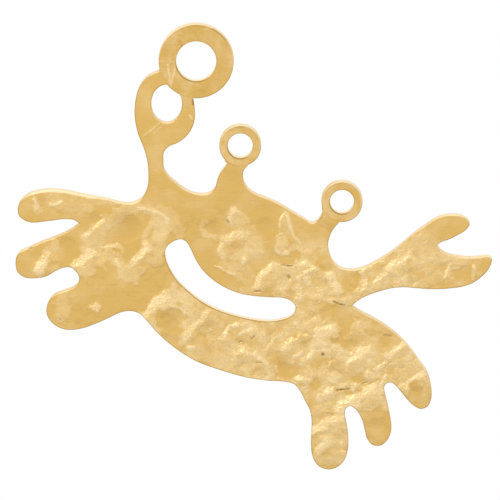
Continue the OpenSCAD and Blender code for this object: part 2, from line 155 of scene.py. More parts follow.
# The relief of the front, drawn after the photograph. Its points are as the camera sees them,
# in tenths of a millimetre to the right of the hanging bore and below it.
# Raised bands: half width and height in millimetres, paleness, path
BANDS = (
    (0.70, 0.05, 0.52, ((-107, 178), (-94, 165), (-80, 155))),
    (0.48, 0.05, 0.55, ((-80, 151), (-62, 146), (-44, 150), (-34, 158), (-30, 168))),
    (0.60, 0.04, 0.52, ((-36, 160), (-38, 172), (-35, 186), (-41, 200))),
    (0.55, 0.03, 0.40, ((-34, 147), (-24, 155), (-18, 166), (-17, 175))),
    (0.72, 0.04, 0.60, ((-112, 208), (-98, 197), (-86, 192), (-78, 198))),
    (0.70, 0.04, 0.48, ((-108, 190), (-98, 180))),
    (0.62, 0.04, 0.52, ((-79, 199), (-72, 212), (-62, 216), (-56, 208))),
    (0.38, 0.03, 0.40, ((-104, 138), (-86, 139), (-60, 141))),
    (0.42, 0.04, 0.45, ((-136, 145), (-120, 145), (-107, 146))),
    (0.36, 0.04, 0.45, ((-160, 138), (-158, 149))),
    (0.30, 0.04, 0.50, ((-145, 142), (-135, 141))),
    (0.45, 0.03, 0.50, ((-148, 187), (-151, 196), (-155, 204))),
    (0.40, 0.03, 0.45, ((-141, 180), (-141, 196))),
    (0.70, 0.03, 0.33, ((-136, 236), (-134, 252))),
    (0.80, 0.04, 0.58, ((-12, 232), (-4, 240), (0, 250), (-6, 262))),
    (0.50, 0.04, 0.50, ((0, 262), (-8, 272), (-15, 280))),
    (0.45, 0.03, 0.60, ((-46, 262), (-44, 250), (-37, 239), (-26, 234), (-12, 236))),
    (0.72, 0.03, 0.76, ((-33, 240), (-22, 233), (-12, 238), (-5, 247), (-3, 256))),
    (0.34, 0.02, 0.60, ((-46, 252), (-43, 262), (-38, 271))),
    (0.13, 0.004, 0.90, ((-37, 244), (-29, 243), (-21, 244), (-16, 246), (-12, 251))),
    (0.25, 0.01, 0.60, ((-23, 232), (-21, 223))),
    (0.32, 0.02, 0.42, (
        (27, 186), (30, 179), (37, 177), (44, 181), (46, 188), (42, 194), (34, 196), (28, 192),
    )),
    (1.10, 0.03, 0.58, ((14, 262), (22, 278), (30, 292))),
    (0.80, 0.03, 0.50, ((-2, 290), (14, 298), (34, 304))),
    (0.28, 0.03, 0.48, ((8, 160), (5, 167), (9, 173), (18, 176))),
    (0.60, 0.05, 0.50, ((38, 151), (42, 157), (45, 164))),
    (0.40, 0.04, 0.50, ((27, 174), (26, 184), (29, 195))),
    (0.46, 0.05, 0.55, ((31, 177), (43, 173), (52, 174))),
    (0.62, 0.05, 0.50, ((50, 164), (58, 176), (59, 188))),
    (0.34, 0.05, 0.55, ((51, 184), (49, 194), (46, 200))),
    (0.42, 0.04, 0.45, ((25, 203), (36, 207), (48, 204), (53, 212))),
    (0.42, 0.02, 0.45, ((38, 210), (47, 217), (56, 226))),
    (0.32, 0.02, 0.38, ((46, 228), (56, 231), (68, 233))),
    (0.45, 0.03, 0.42, ((88, 156), (90, 168), (95, 178))),
    (0.58, 0.05, 0.75, ((84, 177), (86, 184), (86, 188))),
    (0.75, 0.04, 0.60, ((68, 220), (80, 214), (94, 214))),
    (0.55, 0.07, 0.60, ((108, 205), (119, 212), (129, 214))),
    (0.50, 0.09, 0.70, ((129, 213), (134, 219), (141, 227))),
    (0.40, 0.04, 0.50, ((116, 229), (132, 238), (148, 240), (162, 232))),
    (0.60, 0.05, 0.40, ((20, 268), (34, 276), (50, 268), (66, 272))),
    (0.55, 0.08, 0.55, ((41, 289), (58, 295), (72, 306))),
    (0.80, 0.06, 0.55, ((100, 262), (118, 262), (134, 268))),
    (0.60, 0.06, 0.45, ((96, 284), (112, 300), (108, 318))),
    (0.70, 0.04, 0.50, ((140, 306), (158, 296), (174, 290))),
    (0.70, 0.03, 0.58, ((160, 270), (169, 275), (173, 288))),
    (0.60, 0.02, 0.45, ((140, 318), (152, 311), (160, 308))),
    (0.50, 0.02, 0.50, ((163, 235), (174, 231))),
    (0.45, 0.02, 0.60, ((184, 309), (196, 302))),
    (0.45, 0.02, 0.45, ((182, 266), (190, 269), (198, 276))),
    (0.60, 0.04, 0.50, ((186, 298), (204, 288))),
    (0.60, 0.05, 0.60, ((194, 321), (206, 313), (222, 302))),
    (0.65, 0.04, 0.65, ((132, 332), (148, 342), (160, 337), (174, 329))),
    (0.50, 0.07, 0.50, ((116, 352), (132, 346), (146, 350))),
    (0.60, 0.05, 0.85, ((127, 364), (138, 360), (147, 354))),
    (0.60, 0.06, 0.45, ((126, 384), (140, 378), (146, 366))),
    (0.45, 0.06, 0.45, ((118, 396), (132, 401), (146, 396))),
    (0.45, 0.07, 0.55, ((158, 232), (170, 225), (186, 219), (202, 219))),
    (0.55, 0.06, 0.55, ((188, 214), (206, 198), (214, 184), (226, 177))),
    (0.45, 0.05, 0.40, ((222, 222), (238, 218), (252, 211))),
    (0.32, 0.05, 0.35, ((281, 198), (281, 214))),
    (1.00, 0.01, 0.26, ((216, 194), (228, 180), (240, 166))),
)
# Walls that the hammer left, with the lower ground on the left of the path, and with a painted highlight:
# half width, height, paleness of the painted highlight, path
WALLS = (
    (0.16, 0.06, 0.80, ((-115, 176), (-109, 171), (-96, 161), (-90, 156))),
    (0.42, 0.13, 0.85, ((-126, 207), (-118, 201), (-110, 195), (-99, 187))),
    (0.37, 0.14, 0.95, ((-68, 205), (-61, 198), (-54, 191), (-48, 184), (-54, 176))),
    (0.24, 0.06, 0.45, ((-54, 178), (-47, 165), (-43, 155))),
    (0.18, 0.07, 0.60, ((-100, 185), (-92, 184), (-81, 184), (-74, 187), (-75, 199))),
    (0.42, 0.11, 0.85, ((-162, 213), (-157, 206), (-152, 198), (-147, 187))),
    (0.52, 0.13, 0.95, ((-62, 268), (-56, 260), (-49, 251), (-42, 242), (-33, 235), (-24, 229))),
    (0.27, 0.11, 0.90, ((-16, 279), (-8, 271), (0, 262), (7, 253), (14, 243))),
    (0.24, 0.09, 0.80, ((23, 279), (27, 274), (31, 268), (35, 264))),
    (0.22, 0.09, 0.75, ((32, 163), (33, 156), (36, 149), (41, 144))),
    (0.28, 0.08, 0.80, ((30, 201), (26, 194), (24, 184), (26, 175), (29, 171))),
    (0.46, 0.09, 0.85, ((26, 181), (30, 176), (38, 172), (47, 172), (54, 176))),
    (0.14, 0.06, 0.60, ((83, 173), (83, 168), (84, 159), (89, 147))),
    (0.36, 0.13, 0.95, ((56, 230), (60, 223), (64, 214), (70, 208), (75, 204), (84, 202))),
    (0.18, 0.10, 0.90, ((173, 223), (181, 217), (189, 211), (196, 204))),
    (0.44, 0.22, 1.00, ((186, 212), (197, 204), (206, 198), (219, 190))),
    (0.26, 0.12, 0.95, ((167, 229), (168, 222), (167, 214), (163, 207))),
    (0.18, 0.09, 0.70, ((160, 232), (168, 227), (178, 222), (190, 218))),
    (0.30, 0.08, 0.70, ((112, 229), (122, 234), (134, 238), (146, 238), (158, 232))),
    (0.35, 0.07, 0.70, ((106, 264), (112, 260), (118, 257), (126, 254))),
    (0.45, 0.26, 1.00, ((115, 276), (121, 273), (128, 270), (135, 267), (142, 265))),
    (0.28, 0.15, 1.00, ((147, 304), (153, 299), (160, 294), (168, 288), (176, 283))),
    (0.25, 0.11, 1.00, ((188, 296), (195, 291), (201, 286), (212, 279))),
    (0.28, 0.11, 0.95, ((199, 327), (207, 322), (214, 318), (221, 314), (232, 308))),
    (0.40, 0.17, 1.00, ((134, 350), (145, 344), (153, 340), (162, 335), (172, 329), (186, 320))),
    (0.42, 0.18, 1.00, ((110, 373), (119, 367), (127, 363), (136, 358), (154, 347))),
    (0.34, 0.14, 1.00, ((118, 392), (124, 387), (130, 382), (136, 375))),
    (0.25, 0.07, 0.70, ((38, 306), (37, 298), (38, 291), (43, 286), (54, 283))),
    (0.28, 0.08, 0.70, ((66, 292), (71, 285), (76, 278), (81, 270))),
)
# Crests with a painted highlight: half width, height, path
RIDGES = (
    (0.12, 0.05, ((-96, 155), (-95, 154))),
    (0.13, 0.05, ((-58, 146), (-44, 149), (-33, 153), (-29, 158))),
    (0.16, 0.06, ((-80, 198), (-77, 204))),
    (0.13, 0.04, ((-161, 137), (-158, 147))),
    (0.13, 0.04, ((-145, 143), (-134, 140))),
    (0.42, 0.10, ((-101, 245), (-100, 246))),
    (0.30, 0.09, ((-158, 206), (-155, 202))),
    (0.14, 0.05, ((14, 267), (15, 268))),
    (0.22, 0.07, ((-7, 286), (-4, 286))),
    (0.15, 0.06, ((47, 201), (49, 196))),
    (0.10, 0.055, ((20, 204), (29, 209), (38, 212))),
    (0.12, 0.05, ((90, 151), (93, 164), (98, 174), (104, 182))),
    (0.14, 0.05, ((80, 190), (86, 193), (91, 189))),
    (0.14, 0.07, ((29, 273), (33, 264), (50, 262))),
    (0.12, 0.06, ((44, 272), (56, 268))),
    (0.20, 0.06, ((46, 290), (60, 294), (72, 305))),
    (0.26, 0.12, ((127, 386), (131, 380))),
    (0.22, 0.10, ((102, 316), (104, 318))),
    (0.28, 0.13, ((132, 330), (134, 332))),
    (0.25, 0.09, ((109, 201), (110, 202))),
    (0.26, 0.08, ((109, 216), (112, 220))),
    (0.32, 0.13, ((133, 212), (134, 216))),
    (0.32, 0.12, ((138, 223), (141, 228))),
    (0.18, 0.06, ((102, 216), (112, 209), (120, 208))),
    (0.48, 0.18, ((148, 343), (157, 341))),
    (0.09, 0.055, ((254, 201), (252, 208), (248, 215))),
    (0.08, 0.045, ((252, 208), (262, 206))),
    (0.13, 0.06, ((278, 204), (277, 218))),
    (0.14, 0.07, ((186, 322), (190, 314))),
    (0.16, 0.08, ((180, 308), (190, 301))),
    (0.14, 0.07, ((97, 297), (104, 291))),
    (0.34, 0.16, ((122, 271), (129, 268))),
    (0.18, 0.07, ((113, 295), (117, 290))),
    (0.13, 0.03, ((68, 318), (76, 312))),
)
# Creases and pits, with painted shade in them: half width, depth, path
CREASES = (
    (0.08, 0.12, ((137, 239), (142, 242), (148, 243))),
    (0.09, 0.12, ((140, 329), (146, 328), (153, 327))),
    (0.08, 0.08, ((85, 203), (97, 204))),
    (0.13, 0.11, ((92, 214), (93, 216))),
    (0.15, 0.16, ((126.5, 292), (126.5, 293))),
    (0.08, 0.09, ((58, 229), (64, 229))),
    (0.13, 0.09, ((30, 158), (32, 161))),
    (0.12, 0.10, ((43, 280), (46, 279))),
    (0.10, 0.09, ((54, 277), (58, 275))),
    (0.09, 0.09, ((-137, 257), (-136, 258))),
    (0.08, 0.07, ((-133, 259), (-133, 260))),
    (0.08, 0.09, ((-166, 186), (-164, 186))),
    (0.09, 0.09, ((187, 273), (195, 274))),
    (0.09, 0.17, ((-3, 38), (-3, 43))),
    (0.10, 0.08, ((60, 301), (65, 300))),
    (0.08, 0.03, ((240, 192), (243, 196))),
    (0.07, 0.025, ((213, 214), (219, 221))),
    (0.11, 0.08, ((166, 322), (171, 320))),
    (0.07, 0.035, ((8, 126), (14, 128), (19, 122))),
    (0.07, 0.030, ((245, 187), (252, 191), (262, 194))),
)
# Streaks of solder and file marks by the hanging ring, with a painted highlight: half width, height, path
STREAKS = (
    (0.09, 0.026, ((-28, 3), (-27, 12), (-25, 24))),
    (0.08, 0.023, ((-20, -5), (-21, 8), (-25, 23))),
    (0.06, 0.016, ((-37, 0), (-29, 0), (-21, 1))),
    (0.11, 0.020, ((-27, 18), (-25, 25))),
    (0.08, 0.022, ((-36, 61), (-44, 68), (-52, 74))),
    (0.06, 0.018, ((-33, 63), (-42, 72))),
    (0.10, 0.030, ((-6, 54), (-4, 58))),
    (0.06, 0.012, ((2, -29), (16, -34))),
)
# Dents on the rings, with painted shade in them: half width, depth, path
SHADED_DENTS = (
    (0.08, 0.026, ((17, -32), (24, -27), (30, -21))),
    (0.13, 0.014, ((-16, -20), (-13, -12))),
    (0.07, 0.016, ((40, 66), (47, 65))),
    (0.08, 0.010, ((-34, 6), (-28, 6))),
    (0.10, 0.008, ((2, 28), (10, 30))),
    (0.06, 0.012, ((143, 118), (149, 119))),
)
# How each ring is rubbed and lit: paleness, how much paler its left is with painted light, the way its
# painted rim highlight faces, and how wide that painted rim highlight is in millimetres
RING_PALENESS_AND_LIGHT = {
    "hanging_ring": (0.07, 0.14, (0.0, 1.0), 0.07),
    "front_eye_ring": (0.27, 0.14, (0.45, 0.89), 0.11),
    "rear_eye_ring": (0.24, -0.06, (0.70, 0.71), 0.15),
}
# Smooth patches: centre, then how far out the hammering starts and is full, in millimetres
SMOOTH = (
    ((-31, 46), 7.6, 10.6),
    ((44, 84), 4.6, 6.4),
    ((2, 136), 1.6, 3.0),
    ((145, 139), 2.9, 4.2),
    ((135, 250), 1.0, 1.8),
    ((150, 259), 0.7, 1.4),
    ((148, 333), 0.3, 0.8),
    ((94, 309), 0.6, 1.1),
    ((143, 276), 0.5, 1.0),
    ((181, 364), 1.5, 2.1),
    ((166, 356), 0.9, 1.5),
    ((133, 404), 0.5, 1.5),
    ((260, 160), 1.2, 1.9),
    ((160, 214), 0.3, 0.8),
    ((161, 221), 0.3, 0.8),
    ((211, 310), 0.4, 0.9),
    ((193, 278), 0.4, 0.9),
    ((162, 318), 0.4, 0.9),
    ((85, 307), 0.6, 1.1),
    ((100, 308), 0.5, 1.0),
    ((32, 296), 0.3, 0.8),
    ((33, 303), 0.2, 0.7),
    ((220, 326), 0.5, 1.1),
    ((267, 212), 0.6, 1.1),
    ((118, 322), 0.3, 0.8),
    ((-26, 256), 1.0, 1.3),
    ((-26, 264), 1.0, 1.3),
    ((-20, 268), 0.8, 1.1),
    ((92, 196), 0.8, 1.2),
    ((151, 284), 0.3, 0.7),
    ((-75, 172), 1.6, 2.3),
    ((-95, 235), 2.6, 3.8),
    ((-55, 226), 0.8, 1.9),
)
# Edges worn to a wide bevel: path along the edge, reach and extra width in millimetres
WORN = (
    (((-166, 134), (-150, 126), (-130, 125), (-108, 130)), 1.2, 0.15),
    (((-60, 140), (-30, 136)), 1.0, 0.06),
)
# Where the hammering is fine and rough: centre, reach in millimetres, strength
ROUGH = (
    ((128, 290), 7.0, 1.0),
    ((132, 366), 3.7, 0.7),
    ((165, 330), 4.0, 1.0),
    ((212, 308), 4.0, 0.8),
    ((190, 212), 5.0, 0.75),
    ((240, 204), 4.5, 0.6),
    ((108, 215), 5.0, 0.8),
    ((45, 180), 3.0, 0.5),
    ((62, 288), 5.5, 0.8),
    ((8, 266), 4.0, 0.45),
    ((-80, 186), 5.0, 0.25),
    ((-148, 196), 2.0, 0.3),
    ((-130, 144), 3.0, 0.3),
)


def seen(points):
    """Turns points as the camera sees them into x and z in millimetres."""
    return np.array(points, float) * (0.1, -0.1 / math.cos(CAMERA_ELEVATION))


def smoothstep(low, high, value):
    """0 below low, 1 above high and a smooth rise between them."""
    t = np.clip((value - low) / (high - low), 0.0, 1.0)
    return t * t * (3.0 - 2.0 * t)


def bell(distance, half_width):
    """1 at no distance, falling to 0 like a bell."""
    return np.exp(-((distance / half_width) ** 2))


def on_path(points, path):
    """For each point: how far right of a path it is, and how far along, from 0 to 1."""
    path = seen(path)
    lengths = np.linalg.norm(np.diff(path, axis=0), axis=1)
    best, across, share = (np.full(len(points), value) for value in (1e9, 1e9, 0.0))
    done = 0.0
    for a, b, length in zip(path, path[1:], lengths):
        along = (b - a) / length
        t = np.clip((points - a) @ along, 0.0, length)
        gap = points - a - t[:, None] * along
        far = np.sqrt((gap**2).sum(1))
        nearer = far < best
        right = np.sign(along[1] * gap[:, 0] - along[0] * gap[:, 1])
        best = np.where(nearer, far, best)
        across = np.where(nearer, right * far, across)
        share = np.where(nearer, (done + t) / lengths.sum(), share)
        done += length
    return across, share


def from_path(points, path):
    """Distance of each point from a path drawn as the camera sees it."""
    return np.abs(on_path(points, path)[0])


def from_spot(points, centre):
    """Distance of each point from a spot drawn as the camera sees it."""
    return np.linalg.norm(points - seen(centre), axis=1)


def wander(points, size, seed):
    """Perlin noise over the sheet, with blobs about the given size in millimetres."""
    return np.array([noise.noise(Vector((x / size, z / size, seed))) for x, z in points])


def bend(points, size, side_seed, up_seed):
    """Noise that shifts each point to the side and up."""
    return np.stack([wander(points, size, side_seed), wander(points, size, up_seed)], 1)


def facets(points, size, seed):
    """Small hammer marks side by side: their height in millimetres, and their tone from 0 to 1."""
    lean = math.radians(33)
    turn = np.array(((math.cos(lean), -math.sin(lean)), (math.sin(lean), math.cos(lean))))
    local = points @ turn / size * (0.92, 1.06)
    low = np.floor(local.min(0)).astype(int) - 2
    high = np.ceil(local.max(0)).astype(int) + 2
    cells = tuple(high - low)
    rng = np.random.default_rng(seed)
    spots = rng.random((*cells, 2)) * 0.86 + 0.07
    tilts = rng.normal(0.0, 0.13, (*cells, 2))
    levels = rng.random(cells)
    here = np.floor(local).astype(int)
    marks = []
    for step in ((x, z) for x in (-1, 0, 1) for z in (-1, 0, 1)):
        at = here + step
        i, j = (at - low).T
        gap = local - at - spots[i, j]
        far = np.sqrt((gap**2).sum(1))
        dish = 0.06 * levels[i, j] + 0.16 * far**2 + (gap * tilts[i, j]).sum(1)
        marks.append((far, size * dish, levels[i, j]))
    far, height, tone = (np.array(values) for values in zip(*marks))
    first, second = np.argsort(far, axis=0)[:2]
    take = np.arange(len(points))
    between = far[second, take] - far[first, take]
    share = 0.5 + 0.5 * smoothstep(0.0, 0.3, between)

    def blend(values):
        return share * values[first, take] + (1.0 - share) * values[second, take]

    return blend(height), blend(tone)


def worked_ground(points):
    """Two shares from 0 on a smooth patch to 1 off it: one for hammer marks, one for beaten depth."""
    work, sink = np.ones(len(points)), np.ones(len(points))
    for centre, start, full in SMOOTH:
        near = from_spot(points, centre)
        work *= smoothstep(start, full, near)
        if full > WIDE_PATCH:
            sink *= smoothstep(0.5 * start, full + 1.5, near)
    return work, sink


def rough_ground(points):
    """How rough the hammering is at each point, from 0 to 1."""
    rough = np.zeros(len(points))
    for centre, reach, strength in ROUGH:
        near = from_spot(points, centre)
        rough = np.maximum(rough, strength * (1.0 - smoothstep(0.55 * reach, reach, near)))
    return rough


def laid_bands(points, width):
    """Height and paleness of the raised bands at each point."""
    band, band_pale = np.zeros(len(points)), np.zeros(len(points))
    for half_width, height, pale, path in BANDS:
        away = from_path(points, path) / (half_width * width)
        band = np.maximum(band, height * (1.0 - smoothstep(0.6, 1.45, away)))
        band_pale = np.maximum(band_pale, pale * (1.0 - smoothstep(0.75, 1.3, away)))
    return band, band_pale


def faded(share, reach):
    """1 along a path, falling to 0 over a share of it at both ends."""
    return smoothstep(0.0, reach, share) * smoothstep(0.0, reach, 1.0 - share)


def hammer_walls(points, width):
    """Height and painted highlight of the hammer's walls: a ramp from left to right, then a slow fall."""
    wall, wall_pale = np.zeros(len(points)), np.zeros(len(points))
    for half_width, height, pale, path in WALLS:
        across, share = on_path(points, path)
        across /= half_width * width
        height *= faded(share, 0.25)
        pale *= faded(share, 0.1)
        ramp = (np.logaddexp(0.0, 5.0 * (across + 1.0)) - np.logaddexp(0.0, 5.0 * (across - 1.0))) / 10.0
        wall = np.maximum(wall, height * ramp * np.exp(-np.maximum(across - 1.0, 0.0) / 3.5))
        wall_pale = np.maximum(wall_pale, pale * np.exp(-((across / 1.2) ** 4)))
    return wall, wall_pale


def bright_ridges(points, width):
    """Height and painted highlight of the crests at each point: the higher a crest, the brighter its
    highlight.
    """
    ridge, ridge_pale = np.zeros(len(points)), np.zeros(len(points))
    for half_width, height, path in RIDGES:
        away = from_path(points, path) / (half_width * width)
        ridge = np.maximum(ridge, height * np.exp(-(away**2)))
        ridge_pale = np.maximum(ridge_pale, min(1.0, 12.0 * height) * np.exp(-((away / 1.35) ** 4)))
    return ridge, ridge_pale


def drawn_lines(points, lines):
    """The strongest line of a table at each point, in millimetres."""
    strength = np.zeros(len(points))
    for half_width, size, path in lines:
        strength = np.maximum(strength, size * bell(from_path(points, path), half_width))
    return strength


def hammered_relief(points, hollow):
    """Depth below the front plane, how pale the brass is with its painted highlights, and its painted shade
    and dark speckle, at each point.
    """
    slow, quick = bend(points, *SLOW_BEND), bend(points, *QUICK_BEND)
    warp = slow + 0.4 * quick
    width = 1.0 + 0.7 * wander(points, *MARK_WIDTHS)
    work, sink = worked_ground(points + 0.7 * warp)
    rough = rough_ground(points)
    rough *= work * (1.0 - smoothstep(0.03, 0.12, hollow))
    band, band_pale = laid_bands(points + 0.20 * slow + 0.14 * quick, width)
    wall, wall_pale = hammer_walls(points + 0.22 * slow + 0.08 * quick, width)
    ridge, ridge_pale = bright_ridges(points + 0.12 * warp, width)
    crease = drawn_lines(points + 0.06 * warp, CREASES)
    streak = drawn_lines(points, STREAKS)
    bent = points + 0.34 * warp
    coarse, coarse_tone = facets(bent, *COARSE_FACETS)
    fine, fine_tone = facets(points + 0.2 * warp, *FINE_FACETS)
    swell = wander(points + 0.3 * warp, *SWELL)
    grain = wander(points, *GRAIN)

    # Depth: the plain or beaten ground, roughness, slow waves, then what stands up from it and what cuts in
    depth = PLAIN_DEPTH + BEATEN_DEPTH * sink + 0.8 * hollow
    depth -= rough * (1.0 - 0.95 * wall_pale) * (0.34 * coarse + 0.07 * fine + 0.030 * swell)
    depth += work * 0.03 * wander(points, *WAVE) + 0.014 * wander(points, *LONG_WAVE)
    depth += GRAIN_DEPTH * rough * grain
    depth -= 0.62 * band + 0.75 * ridge + wall + streak
    depth += crease

    # Paleness: bands and rough ground show their tone, walls their painted highlight, and the painted
    # highlights of ridges and streaks add to it
    speckle = 0.5 + 1.3 * wander(points, *SPECKLE)
    patches = smoothstep(-0.2, 0.25, wander(bent, *TONE_PATCHES))
    tone = 0.12 + 0.36 * patches + 0.30 * coarse_tone + 0.20 * fine_tone * speckle + 0.5 * swell
    pale = band_pale * (0.8 + 0.30 * (speckle - 0.5) * (0.5 + rough))
    pale = np.maximum(pale, wall_pale * (0.78 + 0.25 * speckle))
    pale = np.maximum(pale, rough * tone) + ridge_pale * (0.8 + 0.25 * speckle) + STREAK_HIGHLIGHT * streak
    # Painted shade in creases and hollows, and a dark speckle in the rough ground
    deep = 7.0 * crease + 0.5 * hollow + 0.10 * rough * np.clip(-3.0 * grain - 0.6, 0.0, 1.0)
    return np.maximum(depth, LEAST_DEPTH), np.clip(pale, 0.0, 1.0), np.clip(deep, 0.0, 1.0)


def welded(solid):
    """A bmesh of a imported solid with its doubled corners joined."""
    bm = bmesh.new()
    bm.from_mesh(solid.data)
    bmesh.ops.remove_doubles(bm, verts=bm.verts, dist=1e-7)
    bm.normal_update()
    return bm


def sawn_loops():
    """The plate's outline and holes as closed loops of (x, z) in millimetres, read off its back."""
    bm = welded(PLATE)
    back = CAD_BOX[1].y - 1e-6
    neighbours = {}
    for edge in bm.edges:
        flat = [f for f in edge.link_faces if f.normal.y > 0.99]
        if len(flat) != 1 or min(v.co.y for v in edge.verts) < back:
            continue
        a, b = edge.verts
        neighbours.setdefault(a.index, []).append(b.index)
        neighbours.setdefault(b.index, []).append(a.index)
    places = {v.index: (v.co.x / MM, v.co.z / MM) for v in bm.verts}
    bm.free()
    loops = []
    while neighbours:
        start = here = next(iter(neighbours))
        loop, last = [], None
        while here != start or not loop:
            loop.append(here)
            last, here = here, next(n for n in neighbours[here] if n != last)
        for index in loop:
            neighbours.pop(index)
        loops.append([places[i] for i in loop])
    return loops


def stepped(loop, step):
    """The loop with its long edges split, so that no edge is longer than step."""
    points = []
    for a, b in zip(loop, loop[1:] + loop[:1]):
        a, b = np.array(a), np.array(b)
        parts = max(1, math.ceil(np.linalg.norm(b - a) / step))
        points += [tuple(a + (b - a) * i / parts) for i in range(parts)]
    return points


def ring_sizes(name):
    """Centre, rim radius and bore radius of a washer, in millimetres."""
    low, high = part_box(name)
    centre = np.array(((low.x + high.x) / 2, (low.z + high.z) / 2)) / MM
    corners = [(v.co.x / MM, v.co.z / MM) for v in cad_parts[name].data.vertices]
    reach = [math.hypot(x - centre[0], z - centre[1]) for x, z in corners]
    return centre, max(reach), min(reach)


def from_seats(places):
    """Distance from the nearest washer's seat, in millimetres."""
    seats = [ring_sizes(name) for name in RINGS]
    reach = [np.linalg.norm(places - centre, axis=1) - rim - SEAT_GAP for centre, rim, _ in seats]
    return np.min(reach, axis=0)


def mesh_object(name, verts, faces, body="root"):
    """A new object from vertices in millimetres and faces."""
    mesh = bpy.data.meshes.new(name)
    mesh.from_pydata([Vector(v) * MM for v in verts], [], faces)
    mesh.update()
    bm = bmesh.new()
    bm.from_mesh(mesh)
    bmesh.ops.recalc_face_normals(bm, faces=bm.faces)
    bm.to_mesh(mesh)
    bm.free()
    mesh.shade_smooth()
    mesh.set_sharp_from_angle(angle=SHARP_ANGLE)
    obj = bpy.data.objects.new(name, mesh)
    bpy.context.scene.collection.objects.link(obj)
    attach(obj, body)
    return obj


def paint(mesh, **layers):
    """Stores one number per vertex in each layer, for the material to read."""
    for name, values in layers.items():
        layer = mesh.attributes.new(name, "FLOAT", "POINT")
        layer.data.foreach_set("value", np.asarray(values, np.float32))


def rounded(gap, radius):
    """How far an edge of that radius has dropped, at a distance from the edge."""
    reach = np.clip(radius - gap, 0.0, radius)
    return radius - np.sqrt(np.maximum(radius**2 - reach**2, 0.0))


class PlateSettings(bpy.types.PropertyGroup):
    """Sizes and colours of the hammered plate and its washers."""

    mesh_step: bpy.props.FloatProperty(
        name="Mesh Step", description="Distance between the points of the hammered face",
        default=0.12 * MM, subtype="DISTANCE", unit="LENGTH",
    )
    edge_radius: bpy.props.FloatProperty(
        name="Edge Radius", description="Radius of the filed edges",
        default=0.10 * MM, subtype="DISTANCE", unit="LENGTH",
    )
    base_color: bpy.props.FloatVectorProperty(
        name="Brass", description="Colour of the smooth brass",
        default=(0.752, 0.480, 0.144), subtype="COLOR", size=3,
    )
    ring_color: bpy.props.FloatVectorProperty(
        name="Ring Brass", description="Colour of the rings' brass",
        default=(0.705, 0.443, 0.124), subtype="COLOR", size=3,
    )
    # Colour of the worked brass, also used for the painted highlights on crests, walls, streaks and ring
    # sides
    pale_color: bpy.props.FloatVectorProperty(
        name="Worked Brass", description="Colour of the brass on ridges and rough patches",
        default=(0.930, 0.712, 0.380), subtype="COLOR", size=3,
    )
    # Colour of the sawn and filed edges, also used for the painted highlights along lit edges and ring rims
    filed_color: bpy.props.FloatVectorProperty(
        name="Filed Brass", description="Colour of the sawn and filed edges",
        default=(0.930, 0.780, 0.530), subtype="COLOR", size=3,
    )
    # Colour of the painted shade in creases, pits, hollows, dents and along edges, and of the dark speckle
    deep_color: bpy.props.FloatVectorProperty(
        name="Deep Brass", description="Colour of the brass in creases and pits",
        default=(0.340, 0.195, 0.035), subtype="COLOR", size=3,
    )


class StudioSettings(bpy.types.PropertyGroup):
    """Floor and camera."""

    floor_drop: bpy.props.FloatProperty(
        name="Floor Drop", description="Height of the floor below the hanging bore",
        default=120 * MM, subtype="DISTANCE", unit="LENGTH",
    )
    floor_color: bpy.props.FloatVectorProperty(
        name="Floor", description="Colour of the floor",
        default=(0.80, 0.80, 0.80), subtype="COLOR", size=3,
    )
    camera_elevation: bpy.props.FloatProperty(
        name="Camera Elevation", description="Height of the camera above the horizon",
        default=CAMERA_ELEVATION, subtype="ANGLE", unit="ROTATION",
    )


def node(tree, kind, sockets=(), **values):
    """A shader node with its settings, and with a value or a link for each named socket."""
    made = tree.nodes.new(kind)
    for key, value in values.items():
        setattr(made, key, value)
    for key, value in dict(sockets).items():
        if isinstance(value, bpy.types.NodeSocket):
            tree.links.new(value, made.inputs[key])
        else:
            made.inputs[key].default_value = value
    return made


def mixed(tree, factor, first, second):
    """Mixes two colours by a factor."""
    sockets = {"Factor": factor, "A": first, "B": second}
    return node(tree, "ShaderNodeMix", sockets, data_type="RGBA", clamp_factor=True).outputs["Result"]


def added(tree, first, second):
    """The sum of two values."""
    return node(tree, "ShaderNodeMath", {0: first, 1: second}, operation="ADD").outputs["Value"]


def times(tree, first, second):
    """The product of two values."""
    return node(tree, "ShaderNodeMath", {0: first, 1: second}, operation="MULTIPLY").outputs["Value"]


def stretched(tree, value, low, high):
    """Stretches a value from 0 to 1 to the range from low to high."""
    sockets = {"Value": value, "To Min": low, "To Max": high}
    return node(tree, "ShaderNodeMapRange", sockets).outputs["Result"]


def painted(tree, name):
    """A number that the mesh stores for each of its points."""
    return node(tree, "ShaderNodeAttribute", attribute_name=name).outputs["Fac"]


def noise_texture(tree, place, scale, detail):
    """A cloudy noise from 0 to 1 with a mean of one half."""
    sockets = {"Vector": place, "Scale": scale, "Detail": detail}
    return node(tree, "ShaderNodeTexNoise", sockets).outputs["Fac"]


def scratch_texture(tree, place):
    """Fine scratches that run across the front, a little askew."""
    sockets = {"Vector": place, "Rotation": (0.0, math.radians(-20), 0.0), "Scale": (500.0, 500.0, 9000.0)}
    return noise_texture(tree, node(tree, "ShaderNodeMapping", sockets).outputs["Vector"], 1.0, 2.0)


